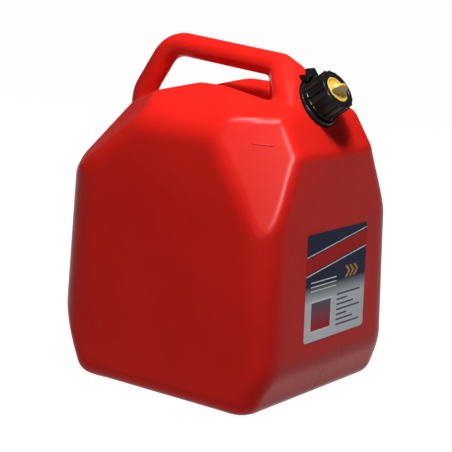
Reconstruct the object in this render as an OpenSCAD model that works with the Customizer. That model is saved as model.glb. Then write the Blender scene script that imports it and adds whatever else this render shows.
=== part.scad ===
// Self-venting fuel can: a blow-moulded tank whose handle and neck are one hollow skin with it,
// a screw collar that clamps the stopper over the stowed spout, and a lock ring with a press tab.
// Millimetres. +Z is up, +X is the pouring end, y = 0 is the mould's parting plane.
// The origin lies under the middle of the tank, on the surface that it stands on.

/* [Tank] */
// Length of the tank, rear face to the widest part of the front face
body_len = 318; // [290:1:350]
// Width of the tank at its foot
body_wid = 292; // [270:1:320]
// Height of the roof's ridge before its edges are rounded
ridge_z = 372; // [360:1:390]
// Wall thickness of the moulding
wall = 3; // [2:0.25:4]
// Radius that rounds every edge of the tank
edge_r = 22; // [16:1:26]
// Plan radius of the two front corners
front_corner_r = 31; // [28:1:40]
// Plan radius of the two rear corners
rear_corner_r = 54; // [45:1:65]
// Draft of the side faces, degrees
side_draft = 2; // [0:0.25:4]
// Draft of the front face, degrees
front_draft = 2.2; // [0:0.1:4]

/* [Roof and shoulders] */
// Where the ridge is highest, ahead of the middle
ridge_x = 7; // [-20:1:30]
// Fall of the ridge towards the pouring end, degrees
top_fall = 4.1; // [2:0.1:6]
// Fall of the ridge towards the rear, degrees
rear_top_fall = 17; // [12:0.5:22]
// Height of the eaves, where each side face passes into its eave band
eave_z = 316; // [300:1:325]
// Slope of the eave band, degrees
eave_slope = 54.5; // [45:0.5:65]
// Height of the level line at which the eave bands and the front corner facets end
roof_foot_z = 338; // [330:1:345]
// Slope of the roof over each side, degrees
roof_slope = 21.5; // [17:0.5:25]
// Slope of the roof over each front corner facet, degrees
front_roof_slope = 17; // [13:0.5:21]
// Height at which the front shoulder leaves the front face
front_shoulder_z = 298; // [285:1:310]
// Slope of the front shoulder, degrees
front_shoulder_slope = 58; // [52:1:64]
// Height at which the rear shoulder leaves the rear face
rear_shoulder_z = 256; // [240:1:270]
// Slope of the rear shoulder, degrees
rear_shoulder_slope = 61; // [54:1:66]
// Height of the lower tip of each front corner facet
front_facet_tip_z = 203; // [180:1:225]
// Heading of a front corner facet, degrees from +X
front_facet_heading = 58; // [50:1:66]
// Lean of a front corner facet, degrees from upright
front_facet_lean = 23; // [16:1:30]
// Height of the lower tip of each rear corner facet
rear_facet_tip_z = 245; // [230:1:260]
// Lean of a rear corner facet, degrees from upright
rear_facet_lean = 40.5; // [34:0.5:46]
// Height of the slope at the foot of the front face
front_foot_z = 55; // [40:1:70]
// How far that slope draws the front foot in
front_foot_in = 23; // [12:1:34]
// Height of the slope at the foot of the rear face
rear_foot_z = 80; // [60:1:95]
// How far that slope draws the rear foot in
rear_foot_in = 49; // [34:1:60]

/* [Handle] */
// Radius of the grip
grip_r = 14.5; // [12:0.5:17]
// Height of the grip's middle line over the ridge
grip_rise = 23; // [18:1:36]
// Lean of the rear leg, degrees from level
rear_leg_lean = 58; // [50:1:66]
// How far below the ridge the rear leg's elbow lies
elbow_drop = 37; // [30:1:45]
// How far the rear leg's skin lies inside the rear face
leg_inset = 1.5; // [1:0.5:8]
// Radius of the handle's bends, on its middle line
bend_r = 40; // [30:1:46]
// Where the grip runs into the front leg
grip_end_x = 62; // [54:1:68]
// How much thicker the front leg is than the grip, on its radius
leg_swell = 1.5; // [0:0.5:3]
// How far the front leg's lower end spreads to each side
leg_spread = 26; // [18:1:30]
// Radius of the hand channel in the roof, under the grip
channel_r = 70; // [60:1:76]
// Depth of the channel's floor below the ridge
channel_deep = 31; // [25:1:36]
// Where the channel's floor starts to fall towards the pouring end
channel_bend_x = 16; // [0:1:30]
// Fall of the channel's floor from there, degrees
channel_fall = 9.5; // [6:0.5:12]
// How far the channel's floor runs on past the grip's end
channel_run = 5; // [2:1:8]
// Lean of the channel's front wall, degrees from upright
channel_wall_lean = 52; // [45:1:54]

/* [Neck] */
// How far up the front shoulder the ring seat's middle lies, from where the shoulder leaves the front face
seat_up = 63; // [60:0.5:66]
// How deep the ring seat's middle lies under the shoulder
seat_sunk = 3.8; // [3:0.1:6]
// Rise of the neck's axis, degrees from level
neck_rise = 37.5; // [33:0.5:42]
// Outside radius of the neck
neck_r = 21; // [19:0.5:23]
// Radius of the neck's bore
bore_r = 17.6; // [16.5:0.1:19]
// Height of the neck over the ring seat
neck_h = 25; // [21:0.5:29]
// Gap round the lock ring and its tab in the pocket that they sit in
pocket_gap = 2; // [1:0.5:4]

/* [Closure] */
// Outside radius of the collar between its ribs
collar_r = 25; // [24.5:0.1:28]
// Wall of the collar's skirt
collar_wall = 1.8; // [1.2:0.1:2]
// Number of grip ribs round the collar
rib_count = 16; // [10:1:24]
// Radius of a grip rib
rib_r = 1.5; // [1:0.1:2]
// Thickness of the collar's front wall
collar_top = 3.2; // [2.4:0.1:4.5]
// Radius of the collar's front opening
window_r = 16.8; // [15:0.1:18]
// Gap between the lock ring and the collar's skirt
skirt_gap = 2; // [1:0.5:4]
// Height of the band at the foot of the skirt
band_h = 3.5; // [2:0.5:6]
// How far that band stands out from the skirt
band_t = 0.8; // [0.4:0.1:1.2]
// Chamfer round the collar's front
collar_chamfer = 1.2; // [0.6:0.1:2]
// Thickness of the gasket on the neck's rim
gasket_t = 2; // [1.5:0.1:3]
// Thickness of the spout's flange
flange_t = 3; // [2:0.1:4]
// Thickness of the stopper's seal
seal_t = 1.2; // [0.8:0.1:2]
// Thickness of the stopper's rim
stopper_t = 2; // [1.5:0.1:3]
// How far the stopper's face lies behind the collar's front
face_set = 0.6; // [0.2:0.1:1.5]
// Width of the raised lip round the stopper's face
lip_w = 2; // [1:0.5:4]
// Depth of the stopper's face inside that lip
dish = 1.4; // [0.5:0.1:2]
// Gap between the thumb fin's ends and the stopper's edge
fin_margin = 2.4; // [1:0.1:5]
// Height of the thumb fin over the stopper's lip
fin_h = 11; // [6:0.5:13]
// Thickness of the thumb fin
fin_t = 4.5; // [3:0.1:6]
// Turn of the thumb fin about the neck's axis, degrees
fin_turn = 79; // [0:1:180]

/* [Lock] */
// Outside radius of the lock ring
ring_r = 30; // [28.5:0.5:31]
// Thickness of the lock ring
ring_t = 5; // [4:0.5:6]
// Chamfer round the lock ring
ring_chamfer = 2; // [1:0.5:3]
// Width of the lock tab
tab_w = 16; // [12:1:20]
// Radius of the tab's pivot
tab_pin_r = 1.6; // [1.2:0.1:2]
// How far outside the ring the pivot lies
tab_out = 2; // [1.5:0.5:4]
// Height of the pivot over the ring seat
tab_pivot_s = 4.5; // [4:0.1:6]
// Thickness of each pivot ear
ear_t = 3; // [2.5:0.1:4]
// Wall of an ear round the pivot
ear_wall = 1.9; // [1.4:0.1:2.5]
// How far the tab's thumb pad reaches out from the pivot
pad_reach = 8.5; // [6:0.5:10]
// Height of the thumb pad over the ring seat
pad_s = 12.5; // [11.5:0.5:15]
// Thickness of the thumb pad
pad_t = 6; // [3:0.5:8]

/* [Spout] */
// Length of the spout below its flange
spout_len = 212; // [150:1:230]
// Radius of the spout at its tip
spout_tip_r = 11; // [9:0.5:13]
// Wall of the spout
spout_wall = 1.8; // [1.4:0.1:2.5]
// Outside radius of the air tube in the spout
air_r = 3.5; // [2.5:0.1:4.5]
// Wall of the air tube
air_wall = 0.9; // [0.6:0.1:1.2]
// Thickness of the bars that hold the air tube in the spout
bar_t = 2; // [1.5:0.1:3]
// Length of those bars along the spout
bar_h = 6; // [4:0.5:10]
// Wall of the boss round the air tube, in the middle of each bar
boss_wall = 1.5; // [1:0.1:2]

/* [Label] */
// Width of the label
label_w = 134; // [90:1:160]
// Height of the label
label_h = 129; // [90:1:140]
// Thickness of the label
label_t = 0.35; // [0.2:0.05:0.6]
// Height of the label's middle
label_z = 143; // [130:1:150]
// How far the label sits to one side
label_y = 9; // [0:1:20]
// Corner radius of the label
label_corner_r = 5; // [2:0.5:10]

/* [Clearances] */
// Gap between pieces that move past each other
run_gap = 0.4; // [0.3:0.05:0.6]
// Gap between pieces that lie on each other
seat_gap = 0.05; // [0.02:0.01:0.1]
// Radial play of the tab's pivot
pin_play = 0.05; // [0.02:0.01:0.1]
// Radial play of the spout in the neck's bore
spout_play = 1.2; // [0.6:0.1:2]
// How far the flange stays inside the neck's edge
flange_inset = 0.5; // [0:0.1:1]

/* [Hidden] */
$fn = 64;
round_fn = 24;
hull_fn = 24;
grip_fn = 24;
channel_fn = 48;
bend_steps = 6;
far = 1000;
// the foot's rounding is cut flat this far up, which leaves a level base
foot_trim = 1;
overlap = 1;

rear_x = -body_len / 2;
// the front face leans back, so its foot line lies ahead of the widest point that the foot slope leaves
front_x = body_len / 2 + front_foot_z * tan(front_draft);
half_w = body_wid / 2;

// a plane of the tank: a point on it and its outward normal
function heading(turn, lean) = [cos(turn) * cos(lean), sin(turn) * cos(lean), sin(lean)];
front_corner = [front_x - front_corner_r * (1 - cos(45)), half_w - front_corner_r * (1 - sin(45))];
rear_corner = [rear_x + rear_corner_r * (1 - cos(45)), half_w - rear_corner_r * (1 - sin(45))];
eave_y = half_w - eave_z * tan(side_draft);
roof_foot_y = eave_y - (roof_foot_z - eave_z) / tan(eave_slope);
// the level top edge of a front corner facet, drawn back from its tip by the facet's lean
facet_back = (roof_foot_z - front_facet_tip_z) * tan(front_facet_lean);
facet_top = [front_corner.x - facet_back * cos(front_facet_heading),
             front_corner.y - facet_back * sin(front_facet_heading), roof_foot_z];
end_planes = [
    [[0, 0, -foot_trim], [0, 0, -1]],
    [[front_x, 0, 0], heading(0, front_draft)],
    [[rear_x, 0, 0], heading(180, 0)],
    [[ridge_x, 0, ridge_z], heading(0, 90 - top_fall)],
    [[ridge_x, 0, ridge_z], heading(180, 90 - rear_top_fall)],
    [[front_x - front_shoulder_z * tan(front_draft), 0, front_shoulder_z],
     heading(0, 90 - front_shoulder_slope)],
    [[rear_x, 0, rear_shoulder_z], heading(180, 90 - rear_shoulder_slope)],
    [[front_x - front_foot_in, 0, 0], heading(0, -atan(front_foot_in / front_foot_z))],
    [[rear_x + rear_foot_in, 0, 0], heading(180, -atan(rear_foot_in / rear_foot_z))]
];
side_planes = [
    [[0, half_w, 0], heading(90, side_draft)],
    [[0, eave_y, eave_z], heading(90, 90 - eave_slope)],
    [[0, roof_foot_y, roof_foot_z], heading(90, 90 - roof_slope)],
    [facet_top, heading(front_facet_heading, 90 - front_roof_slope)],
    [[front_corner.x, front_corner.y, front_facet_tip_z], heading(front_facet_heading, front_facet_lean)],
    [[rear_corner.x, rear_corner.y, rear_facet_tip_z], heading(135, rear_facet_lean)]
];

// the handle's middle line, from the foot of the rear leg to the front leg, in the parting plane
grip_z = ridge_z + grip_rise;
elbow_z = ridge_z - elbow_drop;
channel_z = ridge_z - channel_deep;
leg_x = rear_x + leg_inset + grip_r;
elbow = [leg_x, elbow_z];
function on_grip(x) = grip_z - x * tan(top_fall);
knee_x = (grip_z - elbow_z + leg_x * tan(rear_leg_lean)) / (tan(rear_leg_lean) + tan(top_fall));
knee = [knee_x, on_grip(knee_x)];
leg_foot = [leg_x, rear_shoulder_z];
grip_end = [grip_end_x, on_grip(grip_end_x)];

// the front leg: swellings that lie against the front shoulder's plane, inside it
leg_r = grip_r + leg_swell;
shoulder_n = [sin(front_shoulder_slope), cos(front_shoulder_slope)];
shoulder_p = [front_x - front_shoulder_z * tan(front_draft), front_shoulder_z];
seat = shoulder_p + seat_up * [-shoulder_n.y, shoulder_n.x] - seat_sunk * shoulder_n;
function under_shoulder(z, r) =
    [shoulder_p.x - (z - shoulder_p.y) * shoulder_n.y / shoulder_n.x - r * shoulder_n.x,
     z - r * shoulder_n.y];
leg_top = under_shoulder(grip_z - grip_r / 3, leg_r);
leg_low = under_shoulder(seat.y - leg_r / 4, leg_r);
leg_heel = [grip_end_x + leg_r, channel_z - leg_r / 2];

// heights along the neck's axis, over the ring seat
gasket_s = neck_h + seat_gap;
flange_s = gasket_s + gasket_t + seat_gap;
seal_s = flange_s + flange_t + seat_gap;
stopper_s = seal_s + seal_t + seat_gap;
collar_in_s = stopper_s + stopper_t + run_gap;
collar_end_s = collar_in_s + collar_top;
skirt_s = ring_t + skirt_gap;
collar_bore_r = collar_r - collar_wall;
flange_r = neck_r - flange_inset;
spout_r = bore_r - spout_play;
face_r = window_r - run_gap;
face_s = collar_end_s - face_set;
tip_s = flange_s - spout_len;

// the lock tab's pivot, out from the neck's axis and up from the ring seat
tab_pivot = [ring_r + tab_out, tab_pivot_s];
ear_r = tab_pin_r + ear_wall;
tab_reach = tab_pivot.x + pad_reach;
ear_out = tab_w / 2 + run_gap + ear_t;
pocket_r = ring_r + pocket_gap;
nose_r = collar_r + rib_r + run_gap;

module half_space(plane, inset) {
    n = plane[1];
    translate(plane[0] - n * inset)
        rotate([0, acos(n.z), atan2(n.y, n.x)])
            translate([-far, -far, -2 * far])
                cube(2 * far);
}

// plan outline with arcs at the corners, drawn in by inset
module plan(inset) {
    corners = [[front_x, 1, front_corner_r, 0], [front_x, -1, front_corner_r, -90],
               [rear_x, -1, rear_corner_r, 180], [rear_x, 1, rear_corner_r, 90]];
    polygon([for (c = corners) for (a = [90:-15:0])
        [c[0] - sign(c[0]) * c[2] + (c[2] - inset) * cos(c[3] + a),
         c[1] * (half_w - c[2]) + (c[2] - inset) * sin(c[3] + a)]]);
}

// the tank's form without handle and neck, its skin drawn in by depth: the ball that rounds it is
// turned so that its facets have corners along X, which keeps the end faces in their places
module tank_form(depth) {
    minkowski() {
        intersection() {
            linear_extrude(ridge_z) plan(edge_r);
            for_planes(end_planes);
            for_planes(side_planes);
            mirror([0, 1, 0]) for_planes(side_planes);
        }
        rotate([0, 180 / round_fn, 0]) sphere(edge_r - depth, $fn = round_fn);
    }
}

module for_planes(planes) {
    intersection_for (p = planes) half_space(p, edge_r);
}

// hand channel along the roof, grown by depth
module channel(depth) {
    mid_z = channel_z + channel_r;
    line = [[-body_len, mid_z], [channel_bend_x, mid_z],
            [body_len, mid_z - (body_len - channel_bend_x) * tan(channel_fall)]];
    intersection() {
        swept(line, channel_r + depth, channel_fn);
        half_space([[grip_end_x + channel_run, 0, channel_z], heading(0, -channel_wall_lean)], -depth);
    }
}

function dir(a, b) = (b - a) / norm(b - a);
function turn_at(a, b, c) = acos(dir(a, b) * dir(b, c));
function in_plane(p) = [p.x, 0, p.y];
function turned(v, a) = [v.x * cos(a) - v.y * sin(a), v.x * sin(a) + v.y * cos(a)];

// points round the bend at corner b, which turns towards the front
function bend(a, b, c) =
    let (t = turn_at(a, b, c),
         d = dir(a, b),
         start = b - d * bend_r * tan(t / 2),
         mid = start + bend_r * [d.y, -d.x])
    [for (i = [0:bend_steps]) mid + turned(start - mid, -t * i / bend_steps)];

grip_path = concat([leg_foot], bend(leg_foot, elbow, knee), bend(elbow, knee, grip_end), [grip_end]);

// round bar swept along points of the parting plane
module swept(path, r, sides) {
    last = len(path) - 1;
    points = [for (i = [0:last])
        let (t = dir(path[max(i - 1, 0)], path[min(i + 1, last)]))
        for (j = [0:sides - 1])
            let (a = 360 * j / sides)
            in_plane(path[i]) + r * cos(a) * in_plane([-t.y, t.x]) + r * sin(a) * [0, 1, 0]];
    skin = [for (i = [0:last - 1]) for (j = [0:sides - 1])
        let (k = (j + 1) % sides)
        [i * sides + j, i * sides + k, (i + 1) * sides + k, (i + 1) * sides + j]];
    polyhedron(points, concat(skin, [[for (j = [sides - 1:-1:0]) j],
                                     [for (j = [0:sides - 1]) last * sides + j]]), convexity = 4);
}

// front leg, spreading from the grip's end to the neck, its skin drawn in by depth
module front_leg(depth) {
    hull() {
        translate(in_plane(grip_end)) sphere(grip_r + leg_swell / 3 - depth, $fn = hull_fn);
        translate(in_plane(leg_top)) sphere(leg_r - depth, $fn = hull_fn);
        translate(in_plane(leg_heel)) sphere(leg_r - depth, $fn = hull_fn);
        for (side = [-1, 1])
            translate(in_plane(leg_low) + [0, side * leg_spread, 0]) sphere(leg_r - depth, $fn = hull_fn);
    }
}

// frame of the neck: z along its axis from the ring seat, -x up towards the handle
module on_neck() {
    translate(in_plane(seat)) rotate([0, 90 - neck_rise, 0]) children();
}

// pocket for the lock ring and its tab, grown by depth
module pocket(depth) {
    slot_w = 2 * (ear_out + pocket_gap + depth);
    on_neck() translate([0, 0, -depth]) {
        cylinder(r = pocket_r + depth, h = far / 4);
        translate([-tab_pivot.x - ear_r - pocket_gap - depth, -slot_w / 2, 0])
            cube([tab_pivot.x, slot_w, far / 4]);
    }
}

// the whole skin, drawn in by depth: the facets of its roundings fall a hair short of the front's
// widest line, so it is brought to its exact length
module skin(depth) {
    resize([body_len - 2 * depth, 0, 0])
        difference() {
            union() {
                difference() {
                    tank_form(depth);
                    channel(depth);
                }
                swept(grip_path, grip_r - depth, grip_fn);
                front_leg(depth);
            }
            pocket(depth);
            translate([-far, -far, depth - far]) cube([2 * far, 2 * far, far]);
        }
}

module tank() {
    color("#cf2420")
        difference() {
            union() {
                skin(0);
                on_neck() translate([0, 0, -overlap]) cylinder(r = neck_r, h = neck_h + overlap);
            }
            skin(wall);
            on_neck() translate([0, 0, -3 * wall]) cylinder(r = bore_r, h = neck_h + 4 * wall);
        }
}

module ring_of(r_in, r_out, s, t) {
    translate([0, 0, s])
        rotate_extrude() translate([r_in, 0]) square([r_out - r_in, t]);
}

// outline in the plane across the tab's pivot: x out from the neck's axis, y along it
module across(w) {
    rotate([0, 0, 180]) rotate([90, 0, 0]) translate([0, 0, -w / 2]) linear_extrude(w) children();
}

module lock_ring() {
    notch_w = tab_w + 2 * run_gap;
    root_r = ring_r - 2 * ring_chamfer;
    color("#1b1b1d")
        on_neck() difference() {
            union() {
                translate([0, 0, seat_gap]) rotate_extrude()
                    polygon([[neck_r + run_gap, 0], [ring_r, 0], [ring_r, ring_t - ring_chamfer],
                             [ring_r - ring_chamfer, ring_t - seat_gap],
                             [neck_r + run_gap, ring_t - seat_gap]]);
                across(2 * ear_out) {
                    translate(tab_pivot) circle(ear_r);
                    translate([root_r, seat_gap]) square([tab_pivot.x + ear_r - root_r, tab_pivot.y]);
                }
            }
            translate([-tab_reach, -notch_w / 2, -overlap])
                cube([tab_reach - (tab_pivot.x - ear_r - run_gap), notch_w, pad_s]);
            across(2 * ear_out + overlap) translate(tab_pivot) circle(tab_pin_r + pin_play);
        }
}

module lock_tab() {
    color("#1b1b1d")
        on_neck() {
            across(2 * ear_out) translate(tab_pivot) circle(tab_pin_r);
            across(tab_w) {
                translate(tab_pivot) circle(ear_r);
                polygon([[tab_pivot.x - ear_r, tab_pivot.y], [tab_pivot.x + ear_r, tab_pivot.y],
                         [tab_pivot.x + ear_r - overlap, pad_s], [tab_reach, pad_s + pad_t / 4],
                         [tab_reach, pad_s + pad_t], [tab_pivot.x - ear_r, pad_s + pad_t],
                         [tab_pivot.x - ear_r, pad_s], [nose_r, pad_s - overlap],
                         [nose_r, skirt_s + overlap], [tab_pivot.x - ear_r, skirt_s + overlap]]);
            }
        }
}

module screw_collar() {
    rib_len = collar_end_s - skirt_s - 2 * overlap;
    band_r = collar_r + band_t;
    color("#161618")
        on_neck() {
            rotate_extrude()
                polygon([[collar_bore_r, skirt_s], [band_r, skirt_s], [band_r, skirt_s + band_h],
                         [collar_r, skirt_s + band_h + band_t], [collar_r, collar_end_s - collar_chamfer],
                         [collar_r - collar_chamfer, collar_end_s], [window_r, collar_end_s],
                         [window_r, collar_in_s], [collar_bore_r, collar_in_s]]);
            for (i = [0:rib_count - 1])
                rotate([0, 0, (i + 0.5) * 360 / rib_count])
                    translate([collar_r, 0, skirt_s + overlap]) cylinder(r = rib_r, h = rib_len);
        }
}

module stopper() {
    fin_r = face_r - fin_margin;
    fin_foot_s = face_s - dish - overlap;
    color("#e3b52b")
        on_neck() {
            rotate_extrude()
                polygon([[0, stopper_s], [flange_r, stopper_s], [flange_r, stopper_s + stopper_t],
                         [face_r, stopper_s + stopper_t], [face_r, face_s], [face_r - lip_w, face_s],
                         [face_r - lip_w - dish, face_s - dish], [0, face_s - dish]]);
            rotate([0, 0, fin_turn])
                translate([0, 0, fin_foot_s])
                    rotate([90, 0, 0])
                        linear_extrude(fin_t, center = true)
                            intersection() {
                                circle(fin_r);
                                translate([-fin_r, 0]) square([2 * fin_r, face_s + fin_h - fin_foot_s]);
                            }
        }
}

module stopper_seal() {
    color("#2a2a2a") on_neck() ring_of(spout_r - spout_wall, flange_r, seal_s, seal_t);
}

module neck_gasket() {
    color("#2a2a2a") on_neck() ring_of(spout_r + run_gap, flange_r, gasket_s, gasket_t);
}

// the air tube lies along the spout's axis, held in a bar across the bore near each end
module spout() {
    bars = [[flange_s - neck_h - bar_h, spout_r], [tip_s + bar_h, spout_tip_r]];
    color("#e3b52b")
        on_neck() difference() {
            union() {
                rotate_extrude()
                    polygon([[spout_r - spout_wall, flange_s + flange_t], [flange_r, flange_s + flange_t],
                             [flange_r, flange_s], [spout_r, flange_s], [spout_r, flange_s - neck_h],
                             [spout_tip_r, tip_s], [spout_tip_r - spout_wall, tip_s],
                             [spout_r - spout_wall, flange_s - neck_h]]);
                for (bar = bars)
                    translate([0, 0, bar[0]]) {
                        intersection() {
                            translate([-spout_r, -bar_t / 2, 0]) cube([2 * spout_r, bar_t, bar_h]);
                            cylinder(r = bar[1] - spout_wall / 2, h = bar_h);
                        }
                        cylinder(r = air_r + boss_wall, h = bar_h);
                    }
            }
            translate([0, 0, tip_s - overlap]) cylinder(r = air_r + seat_gap, h = spout_len + 2 * overlap);
        }
}

module air_tube() {
    color("#f1efe6")
        on_neck() ring_of(air_r - air_wall, air_r, tip_s + overlap, spout_len - neck_h);
}

module label() {
    color("#20304f")
        translate([front_x - label_z * tan(front_draft), label_y, label_z])
            rotate([0, 90 - front_draft, 0])
                translate([0, 0, seat_gap])
                    linear_extrude(label_t)
                        offset(label_corner_r)
                            square([label_h, label_w] - 2 * label_corner_r * [1, 1], center = true);
}

tank();
lock_ring();
lock_tab();
screw_collar();
stopper();
stopper_seal();
neck_gasket();
spout();
air_tube();
label();
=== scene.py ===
import math

import bmesh
import bpy
import numpy as np
from mathutils import Matrix, Vector


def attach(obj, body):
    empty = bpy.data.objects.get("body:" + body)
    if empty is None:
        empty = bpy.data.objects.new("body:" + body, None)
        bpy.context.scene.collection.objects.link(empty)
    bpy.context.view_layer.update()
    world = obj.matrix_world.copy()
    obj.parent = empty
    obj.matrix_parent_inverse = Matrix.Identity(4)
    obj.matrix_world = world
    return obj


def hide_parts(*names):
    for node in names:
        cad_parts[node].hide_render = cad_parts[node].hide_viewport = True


mm = 0.001
deg = math.radians
roundSides = 128  # facets of a turned piece
axisR = 0.01  # radius at which a turned outline closes on its axis
weld = 1e-6  # metres within which the corners of a grown mesh are one
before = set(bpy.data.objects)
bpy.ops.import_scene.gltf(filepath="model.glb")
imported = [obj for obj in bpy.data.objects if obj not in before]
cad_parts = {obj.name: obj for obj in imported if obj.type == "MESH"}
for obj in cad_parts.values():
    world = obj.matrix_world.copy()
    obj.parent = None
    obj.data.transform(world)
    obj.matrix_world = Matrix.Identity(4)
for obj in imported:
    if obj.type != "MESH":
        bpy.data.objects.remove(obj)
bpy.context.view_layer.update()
scene = bpy.context.scene
scene.view_settings.view_transform = "Standard"
print("frame loaded:", len(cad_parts), "nodes")


def addObject(name, data):
    item = bpy.data.objects.new(name, data)
    scene.collection.objects.link(item)
    return item


# camera, as it stood for the photograph
shot = {"azimuth": 34.77, "elevation": 11.49, "roll": 3.86, "distance": 1867.5, "target": (1.16, -5.16, 185.84),
        "focalPixels": 1514.3, "imageSide": 452, "sensor": 36.0, "clip": (0.05, 20)}


def placeCamera(s):
    az, el, roll = (deg(s[k]) for k in ("azimuth", "elevation", "roll"))
    back = Vector((math.sin(az) * math.cos(el), -math.cos(az) * math.cos(el), math.sin(el)))
    level = Vector((math.cos(az), math.sin(az), 0))
    upright = back.cross(level)
    right = level * math.cos(roll) + upright * math.sin(roll)
    up = upright * math.cos(roll) - level * math.sin(roll)
    data = bpy.data.cameras.new("photoCamera")
    data.sensor_width = s["sensor"]
    data.lens = s["focalPixels"] / s["imageSide"] * s["sensor"]
    data.clip_start, data.clip_end = s["clip"]
    cam = addObject("photoCamera", data)
    place = Matrix((right, up, back)).transposed().to_4x4()
    place.translation = (Vector(s["target"]) + back * s["distance"]) * mm
    cam.matrix_world = place
    scene.camera = cam


placeCamera(shot)


# plain materials with grain, all on object coordinates
noises = {"cloud": (3, 0.5, (0.35, 0.65)), "scuff": (8, 0.65, (0.62, 0.78)), "grain": (4, 0.6, (0.3, 0.7)),
          "fade": (4, 0.5, (0.3, 0.7)), "film": (3, 0.5, (0.3, 0.7))}  # detail, roughness, span in use


def nodeTree(name):
    mat = bpy.data.materials.new(name)
    mat.use_nodes = True
    tree = mat.node_tree
    tree.nodes.clear()
    out = tree.nodes.new("ShaderNodeOutputMaterial")
    shader = tree.nodes.new("ShaderNodeBsdfPrincipled")
    tree.links.new(shader.outputs["BSDF"], out.inputs["Surface"])
    return mat, tree, shader


def setInputs(node, values):  # socket names and their values
    for socket, value in values.items():
        node.inputs[socket].default_value = value


def addNoise(tree, coords, kind, scale, low, high):  # the noise, and its span drawn out from low to high
    detail, rough, span = noises[kind]
    noise = tree.nodes.new("ShaderNodeTexNoise")
    setInputs(noise, {"Scale": scale, "Detail": detail, "Roughness": rough})
    tree.links.new(coords, noise.inputs["Vector"])
    return noise.outputs["Fac"], addRange(tree, noise.outputs["Fac"], *span, low, high)


def addRange(tree, value, low, high, toLow, toHigh):
    node = tree.nodes.new("ShaderNodeMapRange")
    setInputs(node, {"From Min": low, "From Max": high, "To Min": toLow, "To Max": toHigh})
    tree.links.new(value, node.inputs["Value"])
    return node.outputs["Result"]


def addMix(tree, factor, first, second):
    node = tree.nodes.new("ShaderNodeMix")
    node.data_type = "RGBA"
    tree.links.new(factor, node.inputs["Factor"])
    for socket, value in (("A", first), ("B", second)):
        target = [i for i in node.inputs if i.name == socket and i.type == "RGBA"][0]
        if isinstance(value, tuple):
            target.default_value = (*value, 1)
        else:
            tree.links.new(value, target)
    return [o for o in node.outputs if o.type == "RGBA"][0]


def addSurface(tree, shader, s, colour, grain, roughness):  # the ends that all looks share
    bump = tree.nodes.new("ShaderNodeBump")
    setInputs(bump, {"Strength": s["bump"], "Distance": s["bumpDepth"]})
    setInputs(shader, {"Specular IOR Level": s["gloss"]})
    tree.links.new(colour, shader.inputs["Base Color"])
    tree.links.new(roughness, shader.inputs["Roughness"])
    tree.links.new(grain, bump.inputs["Height"])
    tree.links.new(bump.outputs["Normal"], shader.inputs["Normal"])


def addMath(tree, operation, first, second):
    node = tree.nodes.new("ShaderNodeMath")
    node.operation = operation
    for i, value in enumerate((first, second)):
        if isinstance(value, (int, float)):
            node.inputs[i].default_value = value
        else:
            tree.links.new(value, node.inputs[i])
    return node.outputs[0]


def inBoth(tree, first, second):
    return addMath(tree, "MULTIPLY", first, second)


def inBand(tree, value, low, high):
    return inBoth(tree, addMath(tree, "GREATER_THAN", value, low), addMath(tree, "LESS_THAN", value, high))


def mouldedPlastic(name, s):
    mat, tree, shader = nodeTree(name)
    coords = tree.nodes.new("ShaderNodeTexCoord").outputs["Object"]
    _, cloud = addNoise(tree, coords, "cloud", s["cloudScale"], 0, 1)
    _, scuff = addNoise(tree, coords, "scuff", s["scuffScale"], 0, s["scuff"])
    grain, roughness = addNoise(tree, coords, "grain", s["grainScale"], *s["roughness"])
    colour = addMix(tree, cloud, s["colour"], s["colourTwo"])
    addSurface(tree, shader, s, addMix(tree, scuff, colour, s["scuffColour"]), grain, roughness)
    return mat


plasticLooks = {
    "redPlastic": {
        "colour": (0.72, 0.016, 0.010), "colourTwo": (0.66, 0.013, 0.008), "cloudScale": 9,
        "scuff": 0.10, "scuffScale": 38, "scuffColour": (0.72, 0.08, 0.07), "gloss": 0.06,
        "grainScale": 900, "roughness": (0.24, 0.33), "bump": 0.06, "bumpDepth": 0.0004},
    "blackPlastic": {
        "colour": (0.006, 0.006, 0.0065), "colourTwo": (0.009, 0.009, 0.0095), "cloudScale": 40,
        "scuff": 0.15, "scuffScale": 160, "scuffColour": (0.03, 0.03, 0.03), "gloss": 0.14,
        "grainScale": 1400, "roughness": (0.18, 0.28), "bump": 0.1, "bumpDepth": 0.0003},
    "yellowPlastic": {
        "colour": (0.67, 0.44, 0.06), "colourTwo": (0.63, 0.4, 0.05), "cloudScale": 45,
        "scuff": 0.15, "scuffScale": 140, "scuffColour": (0.8, 0.55, 0.16), "gloss": 0.5,
        "grainScale": 1200, "roughness": (0.32, 0.46), "bump": 0.08, "bumpDepth": 0.0003},
    "sealRubber": {
        "colour": (0.02, 0.02, 0.02), "colourTwo": (0.028, 0.027, 0.026), "cloudScale": 60,
        "scuff": 0.3, "scuffScale": 220, "scuffColour": (0.07, 0.068, 0.064), "gloss": 0.3,
        "grainScale": 1600, "roughness": (0.65, 0.85), "bump": 0.2, "bumpDepth": 0.0003},
    "milkyPlastic": {
        "colour": (0.78, 0.76, 0.68), "colourTwo": (0.72, 0.69, 0.6), "cloudScale": 50,
        "scuff": 0.1, "scuffScale": 150, "scuffColour": (0.6, 0.55, 0.42), "gloss": 0.5,
        "grainScale": 1200, "roughness": (0.25, 0.4), "bump": 0.06, "bumpDepth": 0.0003},
}
plastics = {name: mouldedPlastic(name, s) for name, s in plasticLooks.items()}
print("materials:", ", ".join(plastics))


# mesh helpers
sharpAngle, softAngle = 35, 50  # degrees at which an edge shades as a crease, plain or softened


def meshFrom(name, verts, faces, place=None):
    data = bpy.data.meshes.new(name)
    if place is not None:
        verts = [place @ Vector(v) for v in verts]
    data.from_pydata([tuple(c * mm for c in v) for v in verts], [], [tuple(f) for f in faces])
    data.validate()
    return data


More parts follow.
